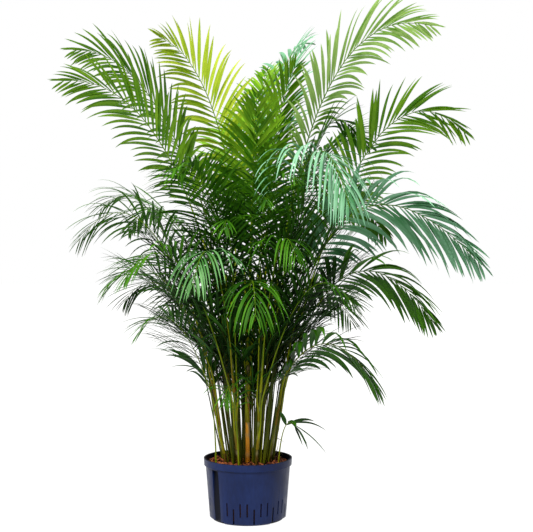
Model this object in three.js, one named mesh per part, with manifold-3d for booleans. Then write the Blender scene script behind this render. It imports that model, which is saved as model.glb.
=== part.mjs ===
// Potted areca palm in a slotted hydroculture grow pot. Millimetres, +Z up.
// The origin is the middle of the pot's flat underside, on the surface that the pot stands on.
import * as THREE from "three";
import { mergeVertices } from "three/addons/utils/BufferGeometryUtils.js";
import Module from "manifold-3d";

const wasm = await Module();
wasm.setup();

// ---- Driving dimensions -------------------------------------------------------------------

// Gap between pieces that rest in or against each other.
const CLEARANCE = 0.3;

// Grow pot: a tapered plastic shell with a rim band, drain slots and a channel for a water gauge.
const POT_HEIGHT = 190;
const POT_WALL = 3;
const POT_FLOOR = 9;
const RIM_RADIUS = 140;
const RIM_BAND_HEIGHT = 24;
const RIM_BAND_OVERHANG = 6;
const BASE_RADIUS = 120.5;
const BASE_CORNER = 5;
const POT_SIDES = 48;
const GAUGE_RADIUS = 15;
const GAUGE_ANGLE = 221;
const SLOT_COUNT = 36;
const SLOT_WIDTH = 4.5;
const UPPER_SLOT_BOTTOM = 27;
const UPPER_SLOT_TOP = 69;
const LOWER_SLOT_BOTTOM = 4;
const LOWER_SLOT_TOP = 52;
const SLOT_DEPTH = 9;
const SLOT_FREE_ANGLE = 12;
const FOOT_NOTCH_HEIGHT = 7;
const FOOT_NOTCH_DEPTH = 8;
const FOOT_NOTCH_SPAN = 46;
const FOOT_NOTCH_ANGLES = [90, 210, 330];

// Expanded clay that fills the pot and holds the canes.
const CLAY_BELOW_RIM = 13;
const CLAY_CROWN = 5;
const PLANTING_DEPTH = 90;

// Canes: they fan out, the further from the middle the more.
const CANE_TO_WALL = 51;
const CANE_SIDES = 10;
const CANE_STEPS = 3;
const FAN_RATE = 0.0021;
const CANE_TAPER = 0.82;

// Fronds: a stalk with a flat upper face and a keel below, and two rows of leaflets.
const STALK_WIDTH = 9;
const STALK_DEPTH = 7;
const STALK_TIP_SHARE = 0.3;
const SHEATH_LENGTH = 70;
const FROND_SPACING = 90;
const STALK_GAP = 3;
const BLADE_START = 0.4;
const PETIOLE_STEPS = 4;
const LEAFLET_PAIRS = 11;
const LEAFLET_FOOT = 12;
const LEAFLET_LENGTH = 255;
const LEAFLET_WIDTH = 20;
const LEAFLET_FOLD = 3;
const LEAFLET_LIFT = 12;
const LEAFLET_ANGLE_AT_START = 62;
const LEAFLET_ANGLE_AT_TIP = 24;
const LEAFLET_DROOP = 0.22;
const FULL_FROND_LENGTH = 1050;
const BRIGHT_LEAF_LEVEL = 1000;

// Growth of the whole plant over the clay, upwards and outwards.
const RISE = 1;
const SPREAD = 1;

// ---- Places that follow from them ---------------------------------------------------------

const BAND_BOTTOM = POT_HEIGHT - RIM_BAND_HEIGHT;
const WALL_TOP_RADIUS = RIM_RADIUS - RIM_BAND_OVERHANG;
const CLAY_TOP = POT_HEIGHT - CLAY_BELOW_RIM;
const CLAY_RADIUS = WALL_TOP_RADIUS - POT_WALL;
const SOIL_LEVEL = CLAY_TOP + CLAY_CROWN / 2;
const ROOT_LEVEL = SOIL_LEVEL - PLANTING_DEPTH;
const MIDDLE = 0;
const OUTER_RING = CLAY_RADIUS - CANE_TO_WALL;
const INNER_RING = OUTER_RING / 2;
const SHOOT_RING = CLAY_RADIUS - CANE_TO_WALL / 2;

// ---- The plant, cane by cane --------------------------------------------------------------

// A frond: the tip of its midrib, the elbow of its arch (share of the way out, height), and how
// far its blade is rolled about the midrib, in degrees: positive lifts the left-hand row.
// Heights are above the clay.
const frond = ([x, y, z], [share, height], roll) => ({
  tip: new THREE.Vector3(x * SPREAD, y * SPREAD, SOIL_LEVEL + z * RISE),
  elbowShare: share,
  elbowLevel: SOIL_LEVEL + height * RISE,
  roll,
});

// A cane: its ring and its angle there, its height, its radius at the clay, and its fronds from
// the top down.
const CANES = [
  { ring: MIDDLE, angle: 0, height: 580, radius: 7.5, fronds: [
    frond([-290, 60, 1360], [0.26, 1280], -60),
    frond([60, 260, 1300], [0.35, 1120], 20),
    frond([30, -170, 1130], [0.4, 950], 0),
    frond([150, -40, 1250], [0.35, 1060], 30),
  ] },
  { ring: INNER_RING, angle: 270, height: 460, radius: 8.5, fronds: [
    frond([30, -470, 480], [0.6, 680], 0),
    frond([140, -380, 860], [0.5, 990], 20),
    frond([-200, -430, 880], [0.5, 1020], -20),
  ] },
  { ring: INNER_RING, angle: 342, height: 510, radius: 7, fronds: [
    frond([600, 80, 1400], [0.24, 1490], 38),
    frond([280, -540, 770], [0.5, 1250], 10),
    frond([360, 200, 1060], [0.5, 1300], 30),
  ] },
  { ring: INNER_RING, angle: 54, height: 520, radius: 7, fronds: [
    frond([195, 300, 1390], [0.2, 1400], 25),
    frond([430, 430, 1050], [0.5, 1240], 20),
    frond([300, 240, 880], [0.5, 1120], 20),
  ] },
  { ring: INNER_RING, angle: 126, height: 520, radius: 6.5, fronds: [
    frond([-580, 120, 1330], [0.43, 1350], -35),
    frond([-40, 560, 1150], [0.5, 1270], 0),
    frond([-200, 230, 950], [0.5, 1100], -20),
  ] },
  { ring: INNER_RING, angle: 198, height: 500, radius: 7, fronds: [
    frond([-580, -60, 1195], [0.36, 1235], -40),
    frond([-190, -400, 860], [0.5, 1040], -20),
    frond([-260, 250, 960], [0.5, 1120], -30),
  ] },
  { ring: OUTER_RING, angle: 210, height: 360, radius: 6.5, fronds: [
    frond([-515, -140, 690], [0.5, 980], -30),
    frond([-430, -200, 545], [0.5, 760], -25),
    frond([-320, -230, 420], [0.5, 580], -20),
  ] },
  { ring: OUTER_RING, angle: 250, height: 380, radius: 7.5, fronds: [
    frond([-140, -480, 565], [0.55, 825], -5),
    frond([-60, -380, 720], [0.5, 870], 0),
    frond([-330, -450, 580], [0.5, 840], -20),
  ] },
  { ring: OUTER_RING, angle: 290, height: 380, radius: 6.5, fronds: [
    frond([140, -420, 640], [0.5, 830], 10),
    frond([60, -330, 800], [0.5, 920], 0),
    frond([300, -400, 510], [0.5, 720], 20),
  ] },
  { ring: OUTER_RING, angle: 330, height: 360, radius: 6.5, fronds: [
    frond([690, -250, 620], [0.27, 1090], 40),
    frond([390, -200, 255], [0.45, 500], 30),
  ] },
  { ring: OUTER_RING, angle: 10, height: 380, radius: 7, fronds: [
    frond([680, -60, 1030], [0.48, 1340], 40),
    frond([580, -60, 440], [0.42, 830], 35),
  ] },
  { ring: OUTER_RING, angle: 50, height: 360, radius: 6, fronds: [
    frond([480, 360, 720], [0.5, 1050], 20),
    frond([360, 380, 420], [0.5, 700], 10),
  ] },
  { ring: OUTER_RING, angle: 90, height: 340, radius: 6.5, fronds: [
    frond([30, 620, 800], [0.5, 1090], 0),
    frond([60, 480, 440], [0.5, 700], 0),
  ] },
  { ring: OUTER_RING, angle: 130, height: 360, radius: 6, fronds: [
    frond([-440, 420, 740], [0.5, 1020], -20),
    frond([-330, 380, 440], [0.5, 700], -10),
  ] },
  { ring: OUTER_RING, angle: 170, height: 380, radius: 6.5, fronds: [
    frond([-490, 120, 800], [0.5, 1000], -15),
    frond([-400, 60, 500], [0.5, 700], -30),
  ] },
];

// Young shoots: small fronds that rise straight from the clay between the canes and the wall. The
// tip is given from the shoot's foot.
const shoot = (degrees, [x, y, z], elbow, roll) => {
  const angle = THREE.MathUtils.degToRad(degrees);
  const footX = SHOOT_RING * Math.cos(angle);
  const footY = SHOOT_RING * Math.sin(angle);
  const data = frond([footX / SPREAD + x, footY / SPREAD + y, z], elbow, roll);
  return { ring: SHOOT_RING, angle: degrees, frond: data };
};
const YOUNG_SHOOTS = [
  shoot(200, [-55, -30, 300], [0.15, 310], -20),
  shoot(336, [55, -65, 120], [0.25, 175], 20),
  shoot(256, [-40, -110, 215], [0.4, 360], -10),
];

// ---- Materials ----------------------------------------------------------------------------

const matte = (color, roughness) =>
  new THREE.MeshStandardMaterial({ color, roughness, metalness: 0 });
const POT_PLASTIC = matte(0x2f3f6b, 0.5);
const FIRED_CLAY = matte(0x7a3420, 0.95);
const GREEN_CANE = matte(0x7f8a2c, 0.6);
const GOLDEN_CANE = matte(0xd4902c, 0.55);
const LEAF = matte(0x3f8a24, 0.5);
const YOUNG_LEAF = matte(0x6cab2f, 0.5);

// ---- Geometry helpers ---------------------------------------------------------------------

const UP = new THREE.Vector3(0, 0, 1);
const radians = THREE.MathUtils.degToRad;
const lerp = THREE.MathUtils.lerp;
const polar = (radius, degrees, z) => new THREE.Vector3(
  radius * Math.cos(radians(degrees)), radius * Math.sin(radians(degrees)), z);

/** Collects the corners and the faces of one closed surface. */
class Skin {
  constructor() {
    this.corners = [];
    this.faces = [];
  }

  corner(point) {
    this.corners.push(point);
    return this.corners.length - 1;
  }

  /** Covers a ring of corners, anticlockwise seen from outside, with a fan of triangles. */
  face(...ring) {
    for (let i = 1; i < ring.length - 1; i += 1) this.faces.push(ring[0], ring[i], ring[i + 1]);
  }

  geometry() {
    const positions = this.corners.flatMap((corner) => corner.toArray());
    const geometry = new THREE.BufferGeometry();
    geometry.setAttribute("position", new THREE.Float32BufferAttribute(positions, 3));
    geometry.setIndex(this.faces);
    return geometry;
  }
}

/** A three.js geometry as a manifold-3d solid. */
function solidOf(geometry) {
  const bare = new THREE.BufferGeometry();
  bare.setAttribute("position", geometry.getAttribute("position"));
  if (geometry.index) bare.setIndex(geometry.index);
  const merged = mergeVertices(bare, 1e-3);
  return new wasm.Manifold(new wasm.Mesh({
    numProp: 3,
    vertProperties: new Float32Array(merged.attributes.position.array),
    triVerts: new Uint32Array(merged.index.array),
  }));
}

/** A manifold-3d solid as a three.js geometry. */
function geometryOf(solid) {
  const mesh = solid.getMesh();
  const geometry = new THREE.BufferGeometry();
  geometry.setAttribute("position", new THREE.BufferAttribute(mesh.vertProperties, 3));
  geometry.setIndex(new THREE.BufferAttribute(mesh.triVerts, 1));
  return geometry.toNonIndexed();
}

/** Turns an outline of [radius, height] pairs, given from the bottom up, round the Z axis. */
function turned(outline, sides) {
  const points = outline.map(([radius, height]) => new THREE.Vector2(radius, height));
  return solidOf(new THREE.LatheGeometry(points, sides).rotateX(Math.PI / 2));
}

/** An upright round bar round a point, from one height to another. */
function bar(radius, centre, bottom, top, sides) {
  const geometry = new THREE.CylinderGeometry(radius, radius, top - bottom, sides);
  geometry.rotateX(Math.PI / 2).translate(centre.x, centre.y, (bottom + top) / 2);
  return solidOf(geometry);
}

/** A block that stands across a radius of the pot, from one height to another. */
function radialBlock(innerRadius, outerRadius, width, bottom, top, degrees) {
  const geometry = new THREE.BoxGeometry(outerRadius - innerRadius, width, top - bottom);
  geometry.translate((innerRadius + outerRadius) / 2, 0, (bottom + top) / 2);
  return solidOf(geometry.rotateZ(radians(degrees)));
}

/** Part of a flat ring, from just below the floor up to a height. */
function ringSector(innerRadius, outerRadius, span, height, degrees) {
  const from = radians(degrees - span / 2);
  const to = radians(degrees + span / 2);
  const outline = new THREE.Shape();
  outline.absarc(0, 0, outerRadius, from, to, false);
  outline.absarc(0, 0, innerRadius, to, from, true);
  const geometry = new THREE.ExtrudeGeometry(
    outline, { depth: height + 1, bevelEnabled: false, curveSegments: 6 });
  return solidOf(geometry.translate(0, 0, -1));
}

/** Joins rings of equally many corners into a closed tube; skips the bands in `open`. */
function skinTube(rings, open = new Set()) {
  const skin = new Skin();
  const ids = rings.map((ring) => ring.map((point) => skin.corner(point)));
  const sides = rings[0].length;
  for (let step = 0; step < rings.length - 1; step += 1) {
    for (let side = 0; side < sides; side += 1) {
      if (open.has(`${step}:${side}`)) continue;
      const next = (side + 1) % sides;
      skin.face(ids[step][side], ids[step][next], ids[step + 1][next], ids[step + 1][side]);
    }
  }
  skin.face(...[...ids[0]].reverse());
  skin.face(...ids.at(-1));
  return { skin, ids };
}

// ---- Pot and clay -------------------------------------------------------------------------

const wallRadius = (z) => lerp(BASE_RADIUS, WALL_TOP_RADIUS, z / BAND_BOTTOM);
const GAUGE_CENTRE = polar(wallRadius(BAND_BOTTOM / 2), GAUGE_ANGLE, 0);
const GAUGE_TOP = BAND_BOTTOM - 2;

/** The space inside the pot's wall, made smaller all round by an inset. */
function cavity(inset, top, crown = 0) {
  const shrink = POT_WALL + inset;
  const bottom = POT_FLOOR + inset;
  const inside = turned([
    [0, bottom],
    [wallRadius(bottom) - shrink - BASE_CORNER, bottom],
    [wallRadius(bottom + BASE_CORNER) - shrink, bottom + BASE_CORNER],
    [wallRadius(BAND_BOTTOM) - shrink, BAND_BOTTOM],
    [wallRadius(BAND_BOTTOM) - shrink + (crown ? 0 : RIM_BAND_OVERHANG / 2), top],
    [0, top + crown],
  ], POT_SIDES);
  const channelWall = bar(
    GAUGE_RADIUS + shrink, GAUGE_CENTRE, -1, GAUGE_TOP + shrink, POT_SIDES / 2);
  return inside.subtract(channelWall);
}

function buildPot() {
  let pot = turned([
    [0, 0],
    [BASE_RADIUS - BASE_CORNER, 0],
    [wallRadius(BASE_CORNER), BASE_CORNER],
    [WALL_TOP_RADIUS, BAND_BOTTOM],
    [RIM_RADIUS - 1, BAND_BOTTOM + RIM_BAND_OVERHANG / 2],
    [RIM_RADIUS, POT_HEIGHT],
    [0, POT_HEIGHT],
  ], POT_SIDES);
  pot = pot.subtract(cavity(0, POT_HEIGHT + 1));
  pot = pot.subtract(bar(GAUGE_RADIUS, GAUGE_CENTRE, -1, GAUGE_TOP, POT_SIDES / 2));
  for (let i = 0; i < SLOT_COUNT; i += 1) {
    const degrees = (i * 360) / SLOT_COUNT;
    if (Math.abs(degrees - GAUGE_ANGLE) < SLOT_FREE_ANGLE) continue;
    const low = i % 3 === 1;
    const bottom = low ? LOWER_SLOT_BOTTOM : UPPER_SLOT_BOTTOM;
    const top = low ? LOWER_SLOT_TOP : UPPER_SLOT_TOP;
    pot = pot.subtract(radialBlock(
      BASE_RADIUS - SLOT_DEPTH, RIM_RADIUS, SLOT_WIDTH, bottom, top, degrees));
  }
  for (const degrees of FOOT_NOTCH_ANGLES) {
    pot = pot.subtract(ringSector(
      BASE_RADIUS - FOOT_NOTCH_DEPTH, RIM_RADIUS, FOOT_NOTCH_SPAN, FOOT_NOTCH_HEIGHT, degrees));
  }
  return pot;
}

/** The clay bed, with a pocket for each cane and shoot that stands in it. */
function buildClay(planted) {
  let clay = cavity(CLEARANCE, CLAY_TOP, CLAY_CROWN);
  for (const pocket of planted) clay = clay.subtract(pocket);
  return clay;
}

// ---- Canes --------------------------------------------------------------------------------

/** The middle of a cane at a height: it leans outwards in proportion to its distance out. */
const caneMiddle = (cane, z) =>
  polar(cane.ring * (1 + FAN_RATE * (z - SOIL_LEVEL)), cane.angle, z);

const caneTop = (cane) => SOIL_LEVEL + cane.height * RISE;

function caneRadius(cane, z) {
  const share = Math.max(0, (z - SOIL_LEVEL) / (caneTop(cane) - SOIL_LEVEL));
  return cane.radius * lerp(1, CANE_TAPER, share);
}

/** Rings of an upright many-sided bar along a cane, wider than the cane by `extra`. */
function caneRings(cane, bottom, top, steps, extra) {
  const rings = [];
  for (let step = 0; step <= steps; step += 1) {
    const z = lerp(bottom, top, step / steps);
    const middle = caneMiddle(cane, z);
    const radius = caneRadius(cane, z) + extra;
    rings.push(Array.from({ length: CANE_SIDES }, (_, side) =>
      polar(radius, (side * 360) / CANE_SIDES, 0).add(middle)));
  }
  return rings;
}

const caneGeometry = (cane) =>
  skinTube(caneRings(cane, ROOT_LEVEL, caneTop(cane), CANE_STEPS, 0)).skin.geometry();

function canePocket(cane) {
  const rings = caneRings(cane, ROOT_LEVEL - CLEARANCE, POT_HEIGHT, 1, CLEARANCE);
  return solidOf(skinTube(rings).skin.geometry());
}

// ---- Fronds -------------------------------------------------------------------------------

// A stalk's section: two edges of its flat upper face, and its keel, as shares of width and depth.
const STALK_SECTION = [[0.5, 0.3], [-0.5, 0.3], [0, -0.7]];

/** How far a stalk's section reaches towards its cane, at an angle from its arch's plane. */
function reachTowardsCane(degrees, thickness) {
  const reaches = STALK_SECTION.map(([across, high]) =>
    high * STALK_DEPTH * Math.cos(radians(degrees))
    - across * STALK_WIDTH * Math.sin(radians(degrees)));
  return thickness * Math.max(...reaches);
}

/** A frond's foot beside its cane and the arch that it makes from there to its tip. */
function archOf({ data, cane, footLevel }, footTurn, turn) {
  const leaveLevel = footLevel + SHEATH_LENGTH;
  const axis = caneMiddle(cane, leaveLevel);
  const tip = data.tip.clone().sub(axis).applyAxisAngle(UP, radians(turn)).add(axis);
  const size = Math.min(1, 0.45 + (0.55 * axis.distanceTo(tip)) / FULL_FROND_LENGTH);
  const thickness = lerp(0.6, 1, size);
  const offset = cane.radius
    ? caneRadius(cane, footLevel) + CLEARANCE + reachTowardsCane(footTurn, thickness)
    : 0;
  const seat = tip.clone().sub(axis).setZ(0).setLength(offset);
  seat.applyAxisAngle(UP, radians(footTurn));
  const foot = caneMiddle(cane, footLevel).add(seat);
  const start = axis.add(seat);
  const elbow = new THREE.Vector3().lerpVectors(start, tip, data.elbowShare)
    .setZ(data.elbowLevel);
  return { foot, curve: new THREE.QuadraticBezierCurve3(start, elbow, tip), size, thickness };
}

/** Where the stations of a stalk lie along its arch, and which of them carry leaflets. */
function stationMarks(footShare) {
  const marks = [];
  for (let i = 0; i < PETIOLE_STEPS; i += 1) {
    marks.push({ along: (BLADE_START * i) / PETIOLE_STEPS });
  }
  for (let pair = 0; pair < LEAFLET_PAIRS; pair += 1) {
    const leaflet = pair / (LEAFLET_PAIRS - 1);
    const along = lerp(BLADE_START, 1 - footShare, leaflet);
    marks.push({ along, leaflet });
    marks.push({ along: along + footShare });
  }
  return marks;
}

/** The stations along a frond's stalk, from its foot on the cane to the tip of its midrib. */
function stalkStations(leaf, footTurn, turn) {
  const { foot, curve, size, thickness } = archOf(leaf, footTurn, turn);
  const start = curve.v0;
  const outward = curve.v2.clone().sub(start).setZ(0).normalize();
  const level = new THREE.Vector3().crossVectors(UP, outward);
  const marks = stationMarks((LEAFLET_FOOT * size) / curve.getLength());
  const stations = marks.map((mark) => ({
    ...mark,
    point: curve.getPointAt(mark.along),
    tangent: curve.getTangentAt(mark.along),
  }));
  const sheath = start.clone().sub(foot).normalize();
  stations[0].tangent.add(sheath).normalize();
  stations.unshift({ along: 0, point: foot, tangent: sheath });
  for (const station of stations) {
    const { point, tangent, along } = station;
    const roll = -radians(leaf.data.roll) * THREE.MathUtils.smoothstep(along, 0, BLADE_START);
    station.side = level.clone().applyAxisAngle(tangent, roll);
    station.up = new THREE.Vector3().crossVectors(tangent, station.side).normalize();
    const thick = thickness * lerp(1, STALK_TIP_SHARE, along);
    station.ring = STALK_SECTION.map(([across, high]) => point.clone()
      .addScaledVector(station.side, across * STALK_WIDTH * thick)
      .addScaledVector(station.up, high * STALK_DEPTH * thick));
  }
  return { stations, size, thickness };
}

/** A leaflet's share of the longest one's length, from the start of the blade, 0, to its tip, 1. */
const leafletProfile = (along) => Math.sin(Math.PI * (0.28 + 0.62 * along));

/** The corners of one leaflet that grows from a foot on the stalk. */
function leafletCorners(station, next, hand, size, lift, share) {
  const bend = radians(lerp(LEAFLET_ANGLE_AT_START, LEAFLET_ANGLE_AT_TIP, station.leaflet));
  const raise = radians(lift);
  const sideways = station.side.clone().multiplyScalar(hand * Math.cos(raise))
    .addScaledVector(station.up, Math.sin(raise));
  const grow = station.tangent.clone().multiplyScalar(Math.cos(bend))
    .addScaledVector(sideways, Math.sin(bend)).normalize();
  const across = station.tangent.clone().addScaledVector(grow, -station.tangent.dot(grow));
  across.normalize();
  const above = new THREE.Vector3().crossVectors(across, grow).multiplyScalar(hand);
  const length = LEAFLET_LENGTH * size * leafletProfile(station.leaflet) * share;
  const half = (LEAFLET_WIDTH / 2) * size * lerp(1, 0.7, station.leaflet) * Math.sqrt(share);
  const root = station.ring[hand > 0 ? 0 : 1].clone().add(next.ring[2]).multiplyScalar(0.5);
  const middle = root.clone().addScaledVector(grow, 0.45 * length)
    .addScaledVector(UP, -0.25 * LEAFLET_DROOP * length);
  const tip = root.clone().addScaledVector(grow, length)
    .addScaledVector(UP, -LEAFLET_DROOP * length);
  const lower = middle.clone().addScaledVector(above, -LEAFLET_FOLD * size);
  const back = lower.clone().addScaledVector(across, -half);
  const front = lower.clone().addScaledVector(across, half);
  return hand > 0 ? [back, middle, front, tip] : [front, middle, back, tip];
}

/** The foot of a leaflet as a ring of four corners, anticlockwise seen from outside. */
const footRing = (lower, upper, hand) => (hand > 0
  ? [lower[2], lower[0], upper[0], upper[2]]
  : [upper[2], upper[1], lower[1], lower[2]]);

/** Covers a leaflet from the four corners of its foot to its tip. */
function coverLeaflet(skin, foot, [first, ridge, last, tip]) {
  skin.face(foot[0], foot[1], ridge, first);
  skin.face(foot[1], foot[2], ridge);
  skin.face(foot[2], foot[3], last, ridge);
  skin.face(foot[3], foot[0], first, last);
  skin.face(first, ridge, tip);
  skin.face(ridge, last, tip);
  skin.face(last, first, tip);
}

/** One leaflet by itself as a closed solid, to see whether it has room. */
function leafletSolid(foot, corners) {
  const skin = new Skin();
  const footIds = foot.map((point) => skin.corner(point));
  const cornerIds = corners.map((point) => skin.corner(point));
  skin.face(...[...footIds].reverse());
  coverLeaflet(skin, footIds, cornerIds);
  return solidOf(skin.geometry());
}

// ---- Room for each piece ------------------------------------------------------------------

/** What has been placed so far, so that a new piece can be kept clear of it. */
class Crowd {
  constructor() {
    this.members = [];
  }

  add(owner, solid) {
    this.members.push({ owner, solid, box: solid.boundingBox() });
  }

  /** Is `solid` clear of every member by the gap that `gapTo` asks of it, where it asks one? */
  isClear(solid, gapTo) {
    const box = solid.boundingBox();
    return this.members.every((member) => {
      const gap = gapTo(member.owner);
      if (!gap) return true;
      for (let axis = 0; axis < 3; axis += 1) {
        if (member.box.min[axis] > box.max[axis] + gap) return true;
        if (member.box.max[axis] < box.min[axis] - gap) return true;
      }
      return solid.minGap(member.solid, gap * 2) > gap;
    });
  }
}

// ---- Assembly -----------------------------------------------------------------------------

const palm = new THREE.Group();
palm.name = "potted_palm";

function addPiece(name, geometry, material) {
  geometry.computeVertexNormals();
  const mesh = new THREE.Mesh(geometry, material);
  mesh.name = name;
  palm.add(mesh);
}

const crowd = new Crowd();
const number = (i) => String(i + 1).padStart(2, "0");
CANES.forEach((cane, i) => {
  cane.name = `cane_${number(i)}`;
  crowd.add(cane.name, solidOf(caneGeometry(cane)));
});

// Every frond with the cane, or the spot in the clay, that it grows from.
const fronds = CANES.flatMap((cane) => cane.fronds.map((data, k) => ({
  name: `${cane.name}_frond_${k + 1}`,
  data,
  cane,
  footLevel: caneTop(cane) - SHEATH_LENGTH - k * FROND_SPACING,
  footTurns: [0, 40, -40, 80, -80],
})));
YOUNG_SHOOTS.forEach((young, i) => fronds.push({
  name: `young_shoot_${i + 1}`,
  data: young.frond,
  cane: { name: "clay", ring: young.ring, angle: young.angle },
  footLevel: SOIL_LEVEL - SHEATH_LENGTH,
  footTurns: [0],
}));

// Each stalk leaves its cane from the first side, and with the least turn about the cane, that
// takes it clear of the others.
const TURNS = [0, 3, -3, 6, -6, 9, -9, 12, -12, 16, -16, 20, -20, 25, -25, 30, -30];
for (const leaf of fronds) {
  const gapTo = (owner) => (owner === leaf.cane.name ? CLEARANCE * 0.9 : STALK_GAP);
  TURNS.some((turn) => leaf.footTurns.some((footTurn) => {
    Object.assign(leaf, stalkStations(leaf, footTurn, turn));
    leaf.stalk = solidOf(skinTube(leaf.stations.map((station) => station.ring)).skin.geometry());
    return crowd.isClear(leaf.stalk, gapTo);
  }));
  crowd.add(leaf.name, leaf.stalk);
}

// Each leaflet keeps its natural lift where it has room, or lifts, drops or shortens to fit.
const LIFTS = [0, 12, -12, 24, -24, 36, -36, 50, -50];
const LENGTH_SHARES = [1, 0.85, 0.7, 0.55, 0.4, 0.25, 0.15];
for (const leaf of fronds) {
  leaf.leaflets = [];
  leaf.stations.forEach((station, step) => {
    if (station.leaflet === undefined) return;
    const next = leaf.stations[step + 1];
    const pairName = `${leaf.name}:${step}`;
    for (const hand of [1, -1]) {
      const foot = footRing(station.ring, next.ring, hand);
      let corners;
      let solid;
      LENGTH_SHARES.some((share) => LIFTS.some((extra) => {
        corners = leafletCorners(station, next, hand, leaf.size, LEAFLET_LIFT + extra, share);
        solid = leafletSolid(foot, corners);
        return crowd.isClear(
          solid, (owner) => (owner === leaf.name || owner === pairName ? 0 : CLEARANCE));
      }));
      leaf.leaflets.push({ step, hand, corners });
      crowd.add(pairName, solid);
    }
  });
}

/** A frond's stalk with all its leaflets as one closed surface. */
function frondGeometry(leaf) {
  const bandOf = (hand) => (hand > 0 ? 2 : 1);
  const open = new Set(leaf.leaflets.map(({ step, hand }) => `${step}:${bandOf(hand)}`));
  const { skin, ids } = skinTube(leaf.stations.map((station) => station.ring), open);
  for (const { step, hand, corners } of leaf.leaflets) {
    const cornerIds = corners.map((point) => skin.corner(point));
    coverLeaflet(skin, footRing(ids[step], ids[step + 1], hand), cornerIds);
  }
  return skin.geometry();
}

/** The hole in the clay for a young shoot: its foot, wider all round by the clearance. */
function shootPocket(leaf) {
  const [foot, start] = leaf.stations;
  const widen = 1 + CLEARANCE / (STALK_SECTION[0][1] * STALK_DEPTH * leaf.thickness);
  const ringAt = (station, shift) => station.ring.map((corner) => corner.clone()
    .sub(station.point).multiplyScalar(widen).add(station.point)
    .addScaledVector(foot.tangent, shift));
  return solidOf(skinTube([ringAt(foot, -CLEARANCE), ringAt(start, CLAY_CROWN)]).skin.geometry());
}

addPiece("pot", geometryOf(buildPot()), POT_PLASTIC);
const youngOnes = fronds.filter((leaf) => leaf.cane.name === "clay");
const pockets = [...CANES.map(canePocket), ...youngOnes.map(shootPocket)];
addPiece("clay_granules", geometryOf(buildClay(pockets)), FIRED_CLAY);
for (const cane of CANES) {
  addPiece(cane.name, caneGeometry(cane), cane.radius > 8 ? GOLDEN_CANE : GREEN_CANE);
}
for (const leaf of fronds) {
  addPiece(leaf.name, frondGeometry(leaf), leaf.data.tip.z > BRIGHT_LEAF_LEVEL ? YOUNG_LEAF : LEAF);
}

export default palm;
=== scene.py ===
# %% [markdown]
# # A potted areca palm
#
# The plant is a clump of slim canes in a slotted grow pot, with about forty feather-shaped leaves,
# called fronds. Its shape was settled in CAD with plain solids: each frond there is a stalk with a
# few thick leaflets. Here every frond is grown again with its full number of thin leaflets, and the
# canes, the clay and the pot get their fine shape and their finish. The CAD model comes first,
# because every piece is placed from it.

# %% Load the CAD frame
import math
import random

import bmesh
import bpy
import numpy as np
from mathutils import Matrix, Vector


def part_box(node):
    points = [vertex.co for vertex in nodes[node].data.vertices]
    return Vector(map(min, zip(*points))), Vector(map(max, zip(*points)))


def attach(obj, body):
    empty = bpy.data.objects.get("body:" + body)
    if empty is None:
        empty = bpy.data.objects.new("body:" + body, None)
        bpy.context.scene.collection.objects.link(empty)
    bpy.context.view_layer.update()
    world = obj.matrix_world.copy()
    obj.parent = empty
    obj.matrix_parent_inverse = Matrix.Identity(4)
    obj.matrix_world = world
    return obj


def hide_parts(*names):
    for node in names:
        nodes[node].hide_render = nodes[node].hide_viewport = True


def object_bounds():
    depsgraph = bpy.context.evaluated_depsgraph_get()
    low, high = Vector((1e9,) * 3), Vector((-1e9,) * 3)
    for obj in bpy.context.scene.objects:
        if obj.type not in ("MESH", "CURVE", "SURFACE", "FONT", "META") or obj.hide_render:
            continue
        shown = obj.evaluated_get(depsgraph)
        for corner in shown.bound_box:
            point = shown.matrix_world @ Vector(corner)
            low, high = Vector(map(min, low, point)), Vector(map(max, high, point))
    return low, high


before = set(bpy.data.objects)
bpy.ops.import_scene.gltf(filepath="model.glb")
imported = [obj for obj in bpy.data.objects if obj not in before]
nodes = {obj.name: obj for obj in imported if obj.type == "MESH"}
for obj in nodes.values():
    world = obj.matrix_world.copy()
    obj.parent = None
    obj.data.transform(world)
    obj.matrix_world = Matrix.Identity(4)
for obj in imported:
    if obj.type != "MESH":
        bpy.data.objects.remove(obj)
cad_low, cad_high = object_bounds()
scene = bpy.context.scene
print(f"{len(nodes)} CAD nodes, {cad_high[2] - cad_low[2]:.2f} m high")

# %% [markdown]
# ## Camera
#
# A tall plant is seen from the height of its middle, so that the pot's rim shows a little of the
# clay and the top leaves are seen from slightly below. A level camera keeps the canes' lean true.

# %% Camera
VIEW_DISTANCE = 3.2
VIEW_HEIGHT = 0.797
VIEW_SHIFT = 0.059
lens = bpy.data.cameras.new("camera")
lens.sensor_width = 36
lens.lens = 68
camera = bpy.data.objects.new("camera", lens)
camera.location = (VIEW_SHIFT, -VIEW_DISTANCE, VIEW_HEIGHT)
camera.rotation_euler = (math.radians(90), 0, 0)
scene.collection.objects.link(camera)
scene.camera = camera

# %% [markdown]
# ## Light and floor
#
# A tall clump lit from high in front keeps its outer fronds bright and leaves its inside nearly
# black, which is what gives foliage its depth. So one strong soft sun does most of the work, a wide
# panel overhead puts a sheen on the leaves, and the sky only fills in. A Light Path node lets the
# sky look plain white to the eye while it lights the plant more weakly. The Standard view transform
# keeps white white and the greens saturated, where a filmic one would grey them.

# %% Light and floor
scene.view_settings.view_transform = "Standard"
scene.view_settings.look = "None"

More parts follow.
